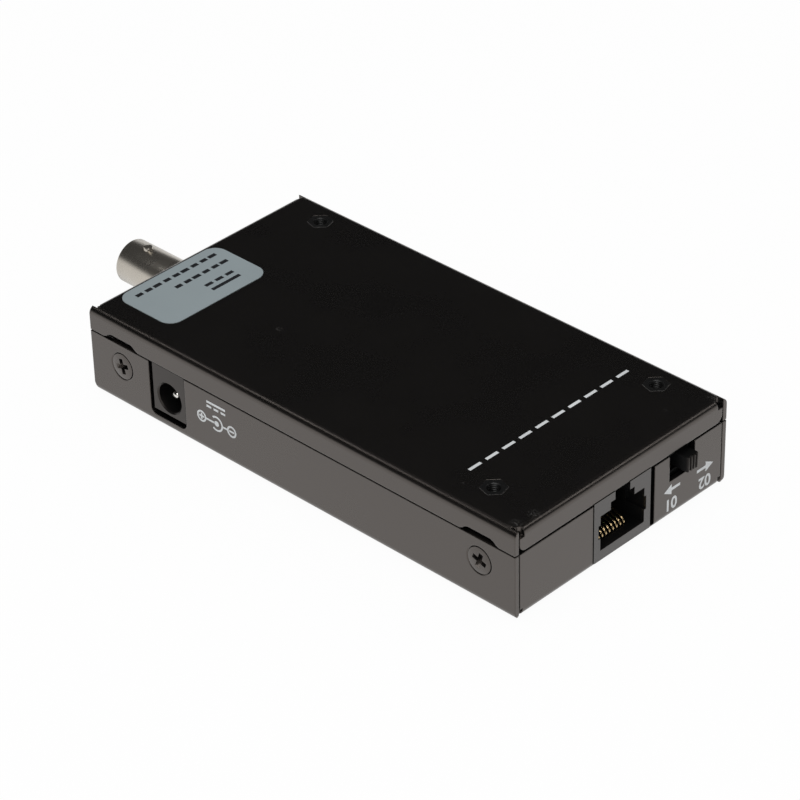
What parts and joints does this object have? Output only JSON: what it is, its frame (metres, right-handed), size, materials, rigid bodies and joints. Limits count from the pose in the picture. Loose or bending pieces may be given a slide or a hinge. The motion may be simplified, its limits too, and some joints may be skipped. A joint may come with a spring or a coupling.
{
  "type": "ethernet to bnc media converter",
  "caption": "Flat black folded-steel converter box with a network socket, a slide switch, a round power socket and a bayonet coaxial socket, lying on its cover.",
  "frame": {"origin": "centre of the cover plate's outer face, on which the box lies", "axes": "+Z from the cover plate to the base plate that carries the label, +X to the end with the network socket, -Y to the side with the power socket"},
  "size_m": [0.1356, 0.0596, 0.0197],
  "materials": {
    "case_paint": "satin black powder paint",
    "screw_black": "blackened steel",
    "standoff_steel": "zinc plated",
    "board_laminate": "solder mask",
    "socket_plastic": "moulded",
    "pin_nickel": "nickel plated",
    "knob_plastic": "moulded",
    "frame_steel": "tin plated",
    "shell_nickel": "warm satin nickel plate",
    "insulator_plastic": "smooth",
    "contact_gold": "gold plated",
    "label_film": "satin film",
    "chip_resin": "moulded resin",
    "ferrite": "fired ferrite",
    "capacitor_can": "smooth can",
    "lamp_lens": "clear lens"
  },
  "bodies": {
    "case": {"base_tray": "case_paint", "top_cover": "case_paint", "circuit_board": "board_laminate", "network_jack": "socket_plastic", "power_jack": "socket_plastic", "power_pin": "pin_nickel", "power_spring": "pin_nickel", "switch_base": "socket_plastic", "switch_frame": "frame_steel", "coax_shell": "shell_nickel", "coax_insulator": "insulator_plastic", "coax_contact": "contact_gold", "coax_block": "socket_plastic", "coax_nut": "shell_nickel", "product_label": "label_film", "network_chip": "chip_resin", "line_chip": "chip_resin", "regulator_chip": "chip_resin", "isolation_module": "chip_resin", "power_coil": "ferrite", "crystal": "frame_steel", "capacitor_1": "capacitor_can", "capacitor_2": "capacitor_can", "case_screw_1": "screw_black", "standoff_1": "standoff_steel", "board_screw_1": "standoff_steel", "case_screw_2": "screw_black", "standoff_2": "standoff_steel", "board_screw_2": "standoff_steel", "case_screw_3": "screw_black", "standoff_3": "standoff_steel", "board_screw_3": "standoff_steel", "case_screw_4": "screw_black", "standoff_4": "standoff_steel", "board_screw_4": "standoff_steel", "network_contact_1": "contact_gold", "network_contact_2": "contact_gold", "network_contact_3": "contact_gold", "network_contact_4": "contact_gold", "network_contact_5": "contact_gold", "network_contact_6": "contact_gold", "network_contact_7": "contact_gold", "network_contact_8": "contact_gold", "indicator_lamp_1": "lamp_lens", "indicator_lamp_2": "lamp_lens", "indicator_lamp_3": "lamp_lens", "lamp_holder": "chip_resin"},
    "switch_knob": {"switch_slider": "knob_plastic"}
  },
  "joints": [
    {"name": "switch_slide", "type": "slide", "parent": "case", "child": "switch_knob", "axis": [0, 1, 0], "range_m": [-0.0025, 0]}
  ]
}
